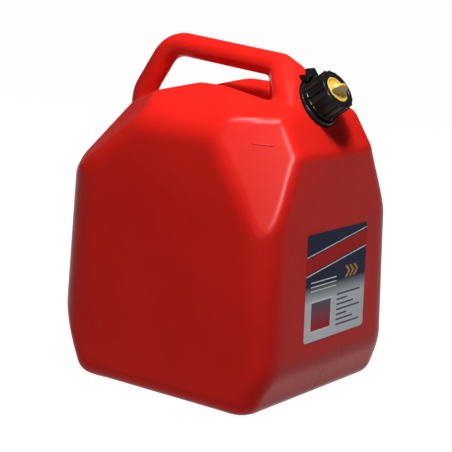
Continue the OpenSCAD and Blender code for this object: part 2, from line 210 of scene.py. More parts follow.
def objectFrom(name, data, material=None):
    if material:
        data.materials.clear()
        data.materials.append(plastics[material])
    data.polygons.foreach_set("use_smooth", [True] * len(data.polygons))
    data.set_sharp_from_angle(angle=deg(sharpAngle))
    return addObject(name, data)


def settled(piece):  # plain mesh of the evaluated object, modifiers removed
    graph = bpy.context.evaluated_depsgraph_get()
    data = bpy.data.meshes.new_from_object(piece.evaluated_get(graph))
    piece.modifiers.clear()
    piece.data = data
    return piece


def combined(piece, steps):  # steps: (operation, other piece), others are used up
    for operation, other in steps:
        cut = piece.modifiers.new("cut", "BOOLEAN")
        cut.operation, cut.solver, cut.object = operation, "MANIFOLD", other
        settled(piece)
        bpy.data.objects.remove(other)
    return piece


def fillet(points, radii, steps=5):  # closed outline with its corners rounded
    shape = []
    count, most = len(points), 0.49  # most of a side that one corner takes
    for i, (corner, radius) in enumerate(zip(points, radii)):
        c = Vector(corner)
        a, b = Vector(points[i - 1]) - c, Vector(points[(i + 1) % count]) - c
        if radius <= 0:
            shape.append(tuple(c))
            continue
        half = a.angle(b) / 2
        run = min(radius / math.tan(half), a.length * most, b.length * most)
        radius = run * math.tan(half)
        middle = c + (a.normalized() + b.normalized()).normalized() * (radius / math.sin(half))
        first = c + a.normalized() * run - middle
        last = c + b.normalized() * run - middle
        turn = first.angle_signed(last)
        for k in range(steps + 1):
            shape.append(tuple(middle + Matrix.Rotation(-turn * k / steps, 2) @ first))
    return shape


def oblong(x, y):
    return [(-x, -y), (x, -y), (x, y), (-x, y)]


def lathe(outline, sides=roundSides):  # closed outline of (radius, height) turned round z
    verts, faces, count = [], [], len(outline)
    for i in range(sides):
        a = 2 * math.pi * i / sides
        verts += [(r * math.cos(a), r * math.sin(a), z) for r, z in outline]
    for i in range(sides):
        k = (i + 1) % sides
        for j in range(count):
            m = (j + 1) % count
            faces.append((i * count + j, k * count + j, k * count + m, i * count + m))
    return verts, faces


def prism(outline, low, high):  # outline of (x, y) raised from low to high
    count = len(outline)
    verts = [(x, y, low) for x, y in outline] + [(x, y, high) for x, y in outline]
    faces = [tuple(reversed(range(count))), tuple(range(count, 2 * count))]
    faces += [(j, (j + 1) % count, count + (j + 1) % count, count + j) for j in range(count)]
    return verts, faces


def tidyNormals(data, merge=0.0):
    form = bmesh.new()
    form.from_mesh(data)
    if merge:
        bmesh.ops.remove_doubles(form, verts=form.verts, dist=merge)
    bmesh.ops.recalc_face_normals(form, faces=form.faces)
    form.to_mesh(data)
    form.free()


def solidPiece(name, form, place, material=None):  # form: corners and faces
    data = meshFrom(name, *form, place)
    tidyNormals(data)
    return objectFrom(name, data, material)


def dress(piece, body, node=None):
    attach(piece, body)
    if node:
        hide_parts(node)
    print(piece.name + ":", len(piece.data.polygons), "faces")


# the tank: planes that meet in rounded edges, with handle, hand channel and ring pocket in one skin
tank = {"length": 318, "width": 292, "ridgeZ": 372, "ridgeX": 7, "wall": 3,
        "edge": 25, "frontCorner": 37, "rearCorner": 60, "roofEdge": 35, "eaveEdge": 45, "facetEdge": 22,
        "facetSoft": 14, "footEdge": 22, "footSoft": 35, "planFront": 31, "planRear": 54,
        "sideDraft": 2, "frontDraft": 2.2, "topFall": 4.1, "rearTopFall": 17,
        "eave": (316, 54.5), "roofFoot": 338, "roofSlope": 21.5, "frontRoofSlope": 17,
        "frontShoulder": (298, 58), "rearShoulder": (256, 61), "frontFoot": (55, 23), "rearFoot": (80, 49),
        "frontFacet": (203, 58, 23),  # the front roof slope starts from this one
        "facetCut": (190, 54.5, 23), "rearFacet": (245, 135, 40.5),  # lower tip, heading, lean
        "gripR": 14.5, "gripRise": 23, "elbowDrop": 37, "legInset": 1.5, "legLean": 58, "bendR": 40,
        "bendSteps": 12, "gripEndX": 62, "handleLow": 226, "legRoom": (0, 290, 85), "swellRun": 40,
        "legSwell": 1.5, "legSpread": 48, "legDrop": 12, "gripBlend": 9, "legBlend": 10,
        "channelDeep": 31, "channelBend": 16, "channelFall": 9.5, "channelRun": 5, "wallLean": 52,
        "slotHalf": 31, "slotRise": 13, "slotRound": 8, "slotDraft": 0.15, "valley": 29, "valleyEdge": 5,
        "channelLip": 9, "channelEnd": 25, "pocketR": 32, "pocketOut": 37.5, "pocketHalf": 13.4,
        "pocketTall": 90, "pocketSoft": 3,
        "voxel": 3.0, "quickVoxel": 5.0, "innerVoxel": 7.0, "rounds": 3, "innerRounds": 2}
net = {"before": (8, 8, 8.5), "after": (6, 8, 52), "reach": 0.4, "ease": 0.6, "drops": 2, "leastSlope": 0.2}
neck = {"up": 63, "sunk": 3.8, "rise": 37.5, "r": 21, "bore": 17.6, "height": 25, "root": 2, "rim": 0.8,
        "rimEdge": 0.9, "boreDeep": 14, "boreOver": 3, "pitch": 6, "turns": 1.75, "threadStart": 9.5,
        "threadR": 21.35, "threadSteps": 72, "ridge": 1.3, "ridgeWidth": 2.6, "ridgeTop": 0.35}
frontX = tank["length"] / 2 + tank["frontFoot"][0] * math.tan(deg(tank["frontDraft"]))
rearX = -tank["length"] / 2
halfW = tank["width"] / 2
shoulderZ, shoulderSlope = tank["frontShoulder"]
shoulderOut = Vector((math.sin(deg(shoulderSlope)), math.cos(deg(shoulderSlope))))
shoulderFoot = Vector((frontX - shoulderZ * math.tan(deg(tank["frontDraft"])), shoulderZ))
seat = shoulderFoot + neck["up"] * Vector((-shoulderOut.y, shoulderOut.x)) - neck["sunk"] * shoulderOut
neckAxis = np.array((math.cos(deg(neck["rise"])), 0, math.sin(deg(neck["rise"]))))
neckUp = np.array((-neckAxis[2], 0, neckAxis[0]))
seatPoint = np.array((seat.x, 0, seat.y))
onNeck = Matrix((-Vector(neckUp), (0, 1, 0), neckAxis)).transposed().to_4x4()
onNeck.translation = seatPoint


def heading(turn, lean):
    return np.array((math.cos(deg(turn)) * math.cos(deg(lean)), math.sin(deg(turn)) * math.cos(deg(lean)),
                     math.sin(deg(lean))))


def tankPlanes(t):  # (point, outward normal, edge radius, more of it at ends and sides), in order
    front, rear = (t[k] * (1 - math.cos(deg(45))) for k in ("planFront", "planRear"))  # what the corners lose
    frontCorner, rearCorner = (frontX - front, halfW - front), (rearX + rear, halfW - rear)
    eaveZ, eaveSlope = t["eave"]
    eaveY = halfW - eaveZ * math.tan(deg(t["sideDraft"]))
    roofY = eaveY - (t["roofFoot"] - eaveZ) / math.tan(deg(eaveSlope))
    planes = [((frontX, 0, 0), heading(0, t["frontDraft"]), 0)]
    for side in (1, -1):
        planes.append(((0, side * halfW, 0), heading(side * 90, t["sideDraft"]), t["frontCorner"]))
    planes.append(((rearX, 0, 0), heading(180, 0), t["rearCorner"]))
    planes.append(((shoulderFoot.x, 0, shoulderFoot.y), heading(0, 90 - shoulderSlope), t["edge"]))
    planes.append(((rearX, 0, t["rearShoulder"][0]), heading(180, 90 - t["rearShoulder"][1]), t["edge"]))
    for side in (1, -1):
        tip, turn, lean = t["frontFacet"]
        back = (t["roofFoot"] - tip) * math.tan(deg(lean))
        over = (frontCorner[0] - back * math.cos(deg(turn)), side * (frontCorner[1] - back * math.sin(deg(turn))))
        planes.append(((0, side * eaveY, eaveZ), heading(side * 90, 90 - eaveSlope), t["eaveEdge"]))
        planes.append(((0, side * roofY, t["roofFoot"]), heading(side * 90, 90 - t["roofSlope"]), t["eaveEdge"]))
        low, ahead, tilt = t["facetCut"]
        planes.append(((frontCorner[0], side * frontCorner[1], low), heading(side * ahead, tilt), t["facetEdge"],
                       (0, t["facetSoft"])))
        planes.append(((*over, t["roofFoot"]), heading(side * turn, 90 - t["frontRoofSlope"]), t["edge"]))
        tip, turn, lean = t["rearFacet"]
        planes.append(((rearCorner[0], side * rearCorner[1], tip), heading(side * turn, lean), t["facetEdge"],
                       (0, t["facetSoft"])))
    for turn, fall in ((0, t["topFall"]), (180, t["rearTopFall"])):
        planes.append(((t["ridgeX"], 0, t["ridgeZ"]), heading(turn, 90 - fall), t["roofEdge"]))
    for x, turn, foot in ((frontX, 0, t["frontFoot"]), (rearX, 180, t["rearFoot"])):
        rise, draw = foot
        inward = x - math.copysign(draw, x)
        planes.append(((inward, 0, 0), heading(turn, -math.degrees(math.atan(draw / rise))), t["footEdge"],
                       (t["footSoft"], 0)))
    planes.append(((0, 0, 0), heading(0, -90), t["footEdge"]))
    return [(np.array(p, float), n, r, soft[0] if soft else (0, 0)) for p, n, r, *soft in planes]


def gripLine(t):  # the handle's middle line in the parting plane
    gripZ, elbowZ = t["ridgeZ"] + t["gripRise"], t["ridgeZ"] - t["elbowDrop"]
    fall, lean = math.tan(deg(t["topFall"])), math.tan(deg(t["legLean"]))
    legX = rearX + t["legInset"] + t["gripR"]
    kneeX = (gripZ - elbowZ + legX * lean) / (lean + fall)
    corners = [Vector((legX, t["rearShoulder"][0])), Vector((legX, elbowZ)),
               Vector((kneeX, gripZ - kneeX * fall)), Vector((t["gripEndX"], gripZ - t["gripEndX"] * fall))]
    line = [corners[0]]
    for a, b, c in zip(corners, corners[1:], corners[2:]):
        way, turn = (b - a).normalized(), (b - a).angle(c - b)
        begin = b - way * t["bendR"] * math.tan(turn / 2)
        middle = begin + t["bendR"] * Vector((way.y, -way.x))
        steps = t["bendSteps"]
        line += [middle + Matrix.Rotation(-turn * k / steps, 2) @ (begin - middle) for k in range(steps + 1)]
    return np.array([tuple(v) for v in line + [corners[-1]]])


def underShoulder(z, r):
    x = shoulderFoot.x - (z - shoulderFoot.y) * shoulderOut.y / shoulderOut.x
    return x - r * shoulderOut.x, z - r * shoulderOut.y


tankFaces = tankPlanes(tank)
grip = gripLine(tank)
legR = tank["gripR"] + tank["legSwell"]
legTop = underShoulder(tank["ridgeZ"] + tank["gripRise"] - tank["gripR"] / 3, legR)
legLow = underShoulder(seat.y - tank["legDrop"], legR)
legHeel = (tank["gripEndX"] + legR / 2, tank["ridgeZ"] - tank["channelDeep"] - legR / 2)
legEnds = ((grip[-1], 0), (legTop, 0), (legHeel, 0), (legLow, tank["legSpread"]), (legLow, -tank["legSpread"]))
legPoints = np.array([(x, y, z) for (x, z), y in legEnds])
legSides = [(0, 1, 3), (0, 1, 4), (0, 2, 3), (0, 2, 4), (1, 3, 4), (2, 3, 4)]


def unit(v):
    return v / np.maximum(np.linalg.norm(v, axis=1, keepdims=True), 1e-6)


def meet(d, g, b, n, radius):  # the part that two fields share, its edge rounded, and the field's direction
    width = np.maximum(radius * (1 - (g * n).sum(1)), 1e-3)
    h = np.clip(1 - np.abs(d - b) / width, 0, 1)
    share = np.where(b > d, 1 - h / 2, h / 2)[:, None]
    return np.maximum(d, b) + h * h * width / 4, unit(g * (1 - share) + n * share)


def merge(d, g, b, n, radius):  # both fields together, the corner between them filled
    d, g = meet(-d, -g, -b, -n, radius)
    return -d, -g


def fromLine(p, line):  # way from the nearest point of a line
    best, way = np.full(len(p), 1e12), np.zeros_like(p)
    for a, b in zip(line[:-1], line[1:]):
        k = np.clip(((p - a) @ (b - a)) / max((b - a) @ (b - a), 1e-9), 0, 1)
        gap = p - a - k[:, None] * (b - a)
        far = (gap ** 2).sum(1)
        way = np.where((far < best)[:, None], gap, way)
        best = np.minimum(best, far)
    return way


def fromTriangle(p, a, b, c):
    flat = np.cross(b - a, c - a)
    flat = flat / np.linalg.norm(flat)
    within = np.ones(len(p), bool)
    for u, v in ((a, b), (b, c), (c, a)):
        within &= (p - u) @ np.cross(flat, v - u) >= 0
    straight = ((p - a) @ flat)[:, None] * flat
    return np.where(within[:, None], straight, fromLine(p, np.array((a, b, c, a))))


gripBar = np.array([(x, 0, z) for x, z in grip])  # in the parting plane
channelFoot = np.array((tank["gripEndX"] + tank["channelRun"], 0, tank["ridgeZ"] - tank["channelDeep"]))


def channelField(q, t):  # hand channel: a steep slot between two gentle slopes, with a leaning front wall
    wall = heading(0, -t["wallLean"])
    ones, side = np.ones((len(q), 1)), np.sign(q[:, 1])
    fall = np.maximum(q[:, 0] - t["channelBend"], 0) * math.tan(deg(t["channelFall"]))
    up, across = q[:, 2] - channelFoot[2] + fall, np.abs(q[:, 1]) - t["slotHalf"]
    level, flank = ones * (0, 0, -1), np.stack((0 * side, side, 0 * side), 1)
    d, g = meet(across - t["slotDraft"] * (up - t["slotRise"]), flank, -up, level, t["slotRound"])
    lean = deg(t["valley"])
    valley = (across * math.tan(lean) - up + t["slotRise"]) * math.cos(lean)
    tilt = np.stack((0 * side, side * math.sin(lean), 0 * side - math.cos(lean)), 1)
    d, g = merge(d, g, valley, tilt, t["valleyEdge"])
    return meet(d, g, (q - channelFoot) @ wall, ones * wall, t["channelEnd"])


def tankField(p):  # signed distance to the tank's outer skin, about, in millimetres
    t = tank
    point, normal, *_ = tankFaces[0]
    d, g = (p - point) @ normal, np.tile(normal, (len(p), 1))
    for point, normal, radius, soft in tankFaces[1:]:
        d, g = meet(d, g, (p - point) @ normal, np.tile(normal, (len(p), 1)), radius + g[:, :2] ** 2 @ soft)
    high = np.nonzero(p[:, 2] > t["handleLow"])[0]
    if not len(high):
        return d
    q, dq, gq = p[high], d[high], g[high]
    hollow, hg = channelField(q, t)
    dq, gq = meet(dq, gq, -hollow, -hg, t["channelLip"])
    way = fromLine(q, gripBar)
    bar, bg = np.linalg.norm(way, axis=1) - t["gripR"], unit(way)
    x, z, half = t["legRoom"]
    near = np.nonzero((q[:, 0] > x) & (q[:, 2] > z) & (np.abs(q[:, 1]) < half))[0]
    if len(near):
        s = q[near]
        ways = np.array([fromTriangle(s, *legPoints[list(c)]) for c in legSides])
        way = ways[np.argmin((ways ** 2).sum(2), 0), np.arange(len(s))]
        swell = t["legSwell"] * np.clip(np.linalg.norm(s - way - legPoints[0], axis=1) / t["swellRun"], 0, 1)
        bar[near], bg[near] = merge(bar[near], bg[near], np.linalg.norm(way, axis=1) - t["gripR"] - swell,
                                    unit(way), t["legBlend"])
    d[high], _ = merge(dq, gq, bar, bg, t["gripBlend"])
    return d


def innerField(p):  # the hollow's skin, clear of the ring's pocket
    t, local = tank, p - seatPoint
    along, out = local @ neckAxis, local @ neckUp
    ring = np.maximum(-along, np.hypot(out, p[:, 1]) - t["pocketR"])
    slot = np.maximum(np.maximum(-along, np.abs(p[:, 1]) - t["pocketHalf"]), np.maximum(out - t["pocketOut"], -out))
    return np.maximum(tankField(p), -np.minimum(ring, slot)) + t["wall"]


def gridNet(field, low, high, step):  # quads round the cells that the surface passes
    axes = [np.arange(a, b + step, step) for a, b in zip(low, high)]
    size = [len(a) for a in axes]
    values = np.empty(size, np.float32)
    sheet = np.stack(np.meshgrid(axes[1], axes[2], indexing="ij"), -1).reshape(-1, 2)
    for i, x in enumerate(axes[0]):
        values[i] = field(np.column_stack((np.full(len(sheet), x), sheet))).reshape(size[1:])
    inside = values < 0
    count = np.zeros([n - 1 for n in size], np.int8)
    for a in np.ndindex(2, 2, 2):
        count += inside[tuple(slice(o, n - 1 + o) for o, n in zip(a, size))]
    cells = np.argwhere((count > 0) & (count < 8))
    number = np.full(count.shape, -1)
    number[tuple(cells.T)] = np.arange(len(cells))
    total, hits = np.zeros((len(cells), 3)), np.zeros(len(cells))
    steps = np.eye(3, dtype=int)
    for axis in range(3):
        for u, w in np.ndindex(2, 2):
            begin = u * steps[(axis + 1) % 3] + w * steps[(axis + 2) % 3]
            a = values[tuple((cells + begin).T)]
            b = values[tuple((cells + begin + steps[axis]).T)]
            cross = (a < 0) != (b < 0)
            part = np.where(cross, a / np.where(cross, a - b, 1), 0)
            total += np.where(cross[:, None], begin + part[:, None] * steps[axis], 0)
            hits += cross
    verts = np.array(low) + step * (cells + total / hits[:, None])
    quads = []
    for axis in range(3):
        u, w = steps[(axis + 1) % 3], steps[(axis + 2) % 3]
        first = inside[tuple(slice(0, n - 1) if i == axis else slice(1, n - 1) for i, n in enumerate(size))]
        second = inside[tuple(slice(1, n) if i == axis else slice(1, n - 1) for i, n in enumerate(size))]
        edges = np.argwhere(first != second) + u + w
        ring = [number[tuple((edges - o).T)] for o in (u + w, w, 0 * u, u)]
        start = first[tuple((edges - u - w).T)]
        quad = np.stack(ring, 1)
        quads.append(np.where(start[:, None], quad, quad[:, ::-1]))
    return verts, np.vstack(quads)


def settle(field, verts, quads, rounds):  # evens the corners out and drops them onto the surface
    ends = np.vstack([quads[:, [i, (i + 1) % 4]] for i in range(4)])
    ends = np.vstack([ends, ends[:, ::-1]])
    hits = np.bincount(ends[:, 0], minlength=len(verts))
    reach, ease = net["reach"], net["ease"]
    for _ in range(rounds):
        mean = np.stack([np.bincount(ends[:, 0], verts[ends[:, 1], i], len(verts)) for i in range(3)], 1)
        verts = (1 - ease) * verts + ease * mean / hits[:, None]
        for _ in range(net["drops"]):
            d = field(verts)
            slope = np.stack([field(verts + reach * e) - d for e in np.eye(3)], 1) / reach
            steep = np.maximum((slope ** 2).sum(1, keepdims=True), net["leastSlope"])
            verts = verts - d[:, None] * slope / steep
    return verts


def skinMesh(name, field, step, rounds):
    low = np.array((rearX, -halfW, 0)) - net["before"]
    high = np.array((frontX, halfW, tank["ridgeZ"])) + net["after"]
    verts, quads = gridNet(field, low, high, step)
    return meshFrom(name, settle(field, verts, quads, rounds), quads)


# pieces that geometry nodes grow, kept as plain meshes
def growTree(name, sizes, carries=False):  # a tree with a socket for each size, and one for a mesh it carries
    tree = bpy.data.node_groups.new(name, "GeometryNodeTree")
    face = tree.interface
    for way in ("OUTPUT", "INPUT") if carries else ("OUTPUT",):
        face.new_socket("Geometry", in_out=way, socket_type="NodeSocketGeometry")
    for key in sizes:
        kind = "NodeSocketInt" if key == "Count" else "NodeSocketFloat"
        face.new_socket(key, in_out="INPUT", socket_type=kind)
    return tree, tree.links.new, tree.nodes.new, tree.nodes.new("NodeGroupInput").outputs


def grown(name, tree, sizes, shape, material, data=None):
    link, add = tree.links.new, tree.nodes.new
    real, paint, out = (add(kind) for kind in ("GeometryNodeRealizeInstances", "GeometryNodeSetMaterial",
                                               "NodeGroupOutput"))
    setInputs(paint, {"Material": plastics[material]})
    for a, b in ((shape, real), (real, paint), (paint, out)):
        link(a.outputs[0], b.inputs[0])
    piece = addObject(name, data if data else bpy.data.meshes.new(name))
    grow = piece.modifiers.new("grow", "NODES")
    grow.node_group = tree
    for item in tree.interface.items_tree:
        if item.name in sizes:
            grow[item.identifier] = sizes[item.name]
    return settled(piece)


def ontoNeck(piece, along, turn=0.0):
    place = onNeck.copy()
    place.translation *= mm
    piece.data.transform(place @ Matrix.Translation((0, 0, along * mm)) @ Matrix.Rotation(turn, 4, "Z"))
    tidyNormals(piece.data, weld)
    return piece


def threadPiece(name, s, r, outward, material):  # raised right-hand helix, as a swept profile
    sizes = {"Turns": s["turns"], "Radius": r * mm, "Rise": s["pitch"] * s["turns"] * mm, "Ridge": s["ridge"] * mm,
             "Width": s["ridgeWidth"] * mm, "Top": s["ridgeWidth"] * mm * s["ridgeTop"]}
    tree, link, add, given = growTree(name + "Path", sizes)
    spiral, profile = add("GeometryNodeCurveSpiral"), add("GeometryNodeCurvePrimitiveQuadrilateral")
    setInputs(spiral, {"Resolution": s["threadSteps"], "Reverse": True})
    profile.mode = "TRAPEZOID"
    setInputs(profile, {"Offset": 0})
    for node, socket, size in ((spiral, "Rotations", "Turns"), (spiral, "Start Radius", "Radius"),
                               (spiral, "End Radius", "Radius"), (spiral, "Height", "Rise"),
                               (profile, "Bottom Width", "Width"), (profile, "Top Width", "Top"),
                               (profile, "Height", "Ridge")):
        link(given[size], node.inputs[socket])
    normal, turn = add("GeometryNodeSetCurveNormal"), add("GeometryNodeTransform")
    normal.mode = "Z_UP"
    setInputs(turn, {"Rotation": (0, 0, deg(90 if outward else -90))})
    sweep = add("GeometryNodeCurveToMesh")
    setInputs(sweep, {"Fill Caps": True})
    link(spiral.outputs[0], normal.inputs[0])
    link(profile.outputs[0], turn.inputs[0])
    link(normal.outputs[0], sweep.inputs[0])
    link(turn.outputs[0], sweep.inputs[1])
    return ontoNeck(grown(name, tree, sizes, sweep, material), s["threadStart"])


def tankSkin(t, n):
    step = t["voxel"]
    outer = objectFrom("tankSkin", skinMesh("tankSkin", tankField, step, t["rounds"]), "redPlastic")
    print("tank skin:", len(outer.data.polygons), "quads")
    inner = objectFrom("inner", skinMesh("inner", innerField, t["innerVoxel"], t["innerRounds"]))
    wide, tall, half, out = t["pocketR"], t["pocketTall"], t["pocketHalf"], t["pocketOut"]
    pocket = solidPiece("pocket", lathe([(axisR, 0), (wide, 0), (wide, tall), (axisR, tall)]), onNeck)
    bay = fillet([(-out, -half), (0, -half), (0, half), (-out, half)],
                 (t["pocketSoft"], 0, 0, t["pocketSoft"]))
    slot = solidPiece("slot", prism(bay, 0, tall), onNeck)
    r, b, h, rim = n["r"], n["bore"], n["height"], n["rim"]
    outline = [(axisR, -n["root"]), (r, -n["root"]), (r, h), (axisR, h)]
    stem = solidPiece("stem", lathe(fillet(outline, (0, 0, n["rimEdge"], 0))), onNeck, "redPlastic")
    low, high = -n["boreDeep"], h + n["boreOver"]
    well = [(axisR, low), (b, low), (b, h - rim), (b + rim, h), (b + rim, high), (axisR, high)]
    bore = solidPiece("bore", lathe(well), onNeck)
    thread = threadPiece("neckThread", n, n["threadR"], True, "redPlastic")
    combined(outer, [("DIFFERENCE", pocket), ("DIFFERENCE", slot), ("UNION", stem), ("UNION", thread),
                     ("DIFFERENCE", inner), ("DIFFERENCE", bore)])
    outer.data.set_sharp_from_angle(angle=deg(sharpAngle))
    return outer


tankPiece = tankSkin(tank, neck)
dress(tankPiece, "tank_body", "tank")


# the seam that the two mould halves leave round the tank
seam = {"ridge": 0.2, "sides": 8, "step": 4, "near": 0.8, "foot": 6, "clear": 34, "behind": -8,
        "front": 100, "label": (75, 212)}


def seamLine(s):
    form = bmesh.new()
    form.from_mesh(tankPiece.data)
    cut = bmesh.ops.bisect_plane(form, geom=form.verts[:] + form.edges[:] + form.faces[:],
                                 plane_co=(0, 0, 0), plane_no=(0, 1, 0))["geom_cut"]
    edges = []
    for edge in cut:
        if not isinstance(edge, bmesh.types.BMEdge):
            continue
        middle = np.array((edge.verts[0].co + edge.verts[1].co) / 2) / mm
        local = middle - seatPoint
        onSkin = abs(tankField(middle[None])[0]) < s["near"] and middle[2] > s["foot"]
        byLabel = middle[0] > s["front"] and s["label"][0] < middle[2] < s["label"][1]
        byNeck = math.hypot(local @ neckUp, middle[1]) < s["clear"] and local @ neckAxis > s["behind"]
        if onSkin and not byLabel and not byNeck:
            edges.append(tuple(tuple(v.co) for v in edge.verts))
    form.free()
    line = bpy.data.meshes.new("seam")
    corners = sorted({c for e in edges for c in e})
    number = {c: i for i, c in enumerate(corners)}
    line.from_pydata(corners, [(number[a], number[b]) for a, b in edges], [])
    return line


def seamPiece(s):
    sizes = {"Ridge": s["ridge"] * mm, "Step": s["step"] * mm}
    tree, link, add, given = growTree("seamTube", sizes, True)
    curve, even = add("GeometryNodeMeshToCurve"), add("GeometryNodeResampleCurve")
    ring, tube = add("GeometryNodeCurvePrimitiveCircle"), add("GeometryNodeCurveToMesh")
    even.mode = "LENGTH"
    setInputs(ring, {"Resolution": s["sides"]})
    setInputs(tube, {"Fill Caps": True})
    link(given["Geometry"], curve.inputs[0])
    link(curve.outputs[0], even.inputs[0])
    link(given["Step"], even.inputs["Length"])
    link(given["Ridge"], ring.inputs["Radius"])
    link(even.outputs[0], tube.inputs[0])
    link(ring.outputs[0], tube.inputs[1])
    return grown("mouldSeam", tree, sizes, tube, "redPlastic", seamLine(s))


dress(seamPiece(seam), "tank_body")


# closure pieces stand on the neck's axis: x points down the shoulder, z out of the neck
closure = {
    "gap": 0.05, "run": 0.4, "ringR": 30, "ringT": 6.7, "ringBevel": (1.4, 2.2), "earRoot": 4, "skirt": 7,
    "ringSoft": (0.3, 0.5, 1.6, 1.2, 0.4), "ringEdge": 0.35,
    "collarR": 25, "collarBore": 23.2, "window": 16.8, "windowStep": (2.6, 2.2, 0.5), "collarIn": 33.8,
    "collarEnd": 37.0, "bandH": 3.5, "bandT": 0.8, "threadR": 22.85, "bead": (12, 7),
    "collarSoft": (0.3, 0.5, 0.6, 0.4, 1.6, 0.3, 0.2, 0.4, 0.3, 0.6),
    "ribs": 16, "ribR": 1.5, "ribFoot": 1, "ribTop": 0.6,
    "teeth": 72, "toothR": 0.5, "toothLen": 1.6, "toothFoot": 0.6,
    "flangeR": 20.5, "stopperS": 31.4, "stopperT": 2, "faceR": 16.4, "faceS": 36.4, "lip": 2, "dish": 1.4,
    "stopperSoft": (0, 0.3, 0.4, 0.2, 0.6, 0.5, 0.6, 0), "finEdge": 0.7,
    "finR": 14, "finH": 11, "finFoot": 8, "finTip": 2.6, "finTurn": 79, "finRoot": 1, "finSteps": 48,
    "sealS": 30.15, "sealT": 1.2, "sealSoft": (0.3, 0.5), "gasketS": 25.05, "gasketT": 2,
    "gasketSoft": (0.4, 0.8)}
tab = {"width": 16, "pivot": (32, 4.5), "pinR": 1.6, "earR": 3.5, "earOut": 11.4, "reach": 40.5, "padS": 12.5,
       "padT": 6, "padSlope": 1.5, "nose": 26.9, "clear": 1, "notchOut": 5, "notchLow": -3, "bevel": 0.9,
       "soft": (0, 0, 2, 1.2, 2.2, 2.2, 0.8, 0.5, 0.5, 0.3)}
spout = {
    "r": 16.4, "tipR": 11, "wall": 1.8, "flangeS": 27.1, "flangeT": 3, "straight": 25, "tipS": -184.9,
    "bendSoft": 8, "beads": 4, "beadFirst": 0.6, "beadHalf": (2.2, 1), "beadH": 0.7,
    "airR": 3.5, "airWall": 0.9, "airIn": 1, "airShort": 3, "airSides": 48, "barT": 2, "barH": 6, "boss": 1.5,
    "sides": 96, "topSoft": (0.4, 0.8, 0.8, 0.6), "beadSoft": (0.6, 0.8, 0.8, 0.6), "tipSoft": (0.7, 0.5),
    "airSoft": (0.2, 0.3)}


def turned(name, outline, radii, material, sides=roundSides):  # lathe piece on the neck's axis
    return solidPiece(name, lathe(fillet(outline, radii), sides), onNeck, material)


def washer(name, inner, outer, low, thick, soft, material, sides=roundSides):  # soft: inner and outer edges
    outline = [(inner, low), (outer, low), (outer, low + thick), (inner, low + thick)]
    return turned(name, outline, (*soft, *reversed(soft)), material, sides)


def acrossPivot(name, outline, width):  # black piece, outline of (out, along), as wide as given over y
    verts, faces = prism(outline, -width / 2, width / 2)
    return solidPiece(name, ([(-x, z, y) for x, y, z in verts], faces), onNeck, "blackPlastic")


def roundPlate(middle, r, count=40):
    return [(middle[0] + r * math.cos(2 * math.pi * i / count), middle[1] + r * math.sin(2 * math.pi * i / count))
            for i in range(count)]


def softened(piece, width, segments=3, angle=40):  # rounds the piece's sharp edges
    bevel = piece.modifiers.new("soft", "BEVEL")
    bevel.width, bevel.segments, bevel.limit_method = width * mm, segments, "ANGLE"
    bevel.angle_limit = deg(angle)
    bevel.use_clamp_overlap = True
    settled(piece)
    piece.data.polygons.foreach_set("use_smooth", [True] * len(piece.data.polygons))
    piece.data.set_sharp_from_angle(angle=deg(softAngle))
    return piece


def beadRing(name, start, count, radius, thick, length):  # rounded bars that repeat round the collar
    sizes = {"Count": count, "Radius": radius * mm, "Thick": thick * mm, "Length": length * mm}
    tree, link, add, given = growTree(name + "Ring", sizes)
    ball = add("GeometryNodeMeshUVSphere")
    setInputs(ball, dict(zip(("Segments", "Rings"), closure["bead"])))
    where, split = add("GeometryNodeInputPosition"), add("ShaderNodeSeparateXYZ")
    upper = add("FunctionNodeCompare")
    lift, raised = add("ShaderNodeCombineXYZ"), add("GeometryNodeSetPosition")
    circle, spread = add("GeometryNodeMeshCircle"), add("GeometryNodeInstanceOnPoints")
    link(given["Thick"], ball.inputs["Radius"])
    link(where.outputs[0], split.inputs[0])
    link(split.outputs["Z"], upper.inputs[0])
    link(given["Length"], lift.inputs["Z"])
    link(ball.outputs[0], raised.inputs["Geometry"])
    link(upper.outputs[0], raised.inputs["Selection"])
    link(lift.outputs[0], raised.inputs["Offset"])
    link(given["Count"], circle.inputs["Vertices"])
    link(given["Radius"], circle.inputs["Radius"])
    link(circle.outputs[0], spread.inputs["Points"])
    link(raised.outputs[0], spread.inputs["Instance"])
    return ontoNeck(grown(name, tree, sizes, spread, "blackPlastic"), start, math.pi / count)


def lockRing(c, t):
    low, high, inner, outer = c["gap"], c["ringT"], neck["r"] + c["run"], c["ringR"]
    across, down = c["ringBevel"]
    ring = turned("lockRing", [(inner, low), (outer, low), (outer, high - down), (outer - across, high),
                               (inner, high)], c["ringSoft"], "blackPlastic")
    (x, y), r, wide = t["pivot"], t["earR"], 2 * t["earOut"]
    root = outer - c["earRoot"]
    foot = acrossPivot("ears", [(root, low), (x + r, low), (x + r, y), (root, y)], wide)
    top = acrossPivot("earTops", roundPlate(t["pivot"], r), wide)
    begin, end, under = x - r - c["run"], t["reach"] + t["notchOut"], t["notchLow"]
    gap = acrossPivot("notch", [(begin, under), (end, under), (end, t["padS"]), (begin, t["padS"])],
                      t["width"] + 2 * c["run"])
    hole = acrossPivot("pinHole", roundPlate(t["pivot"], t["pinR"] + c["gap"]), 1.5 * wide)
    combined(ring, [("UNION", foot), ("UNION", top), ("DIFFERENCE", gap), ("DIFFERENCE", hole)])
    return softened(ring, c["ringEdge"], 2, 45)


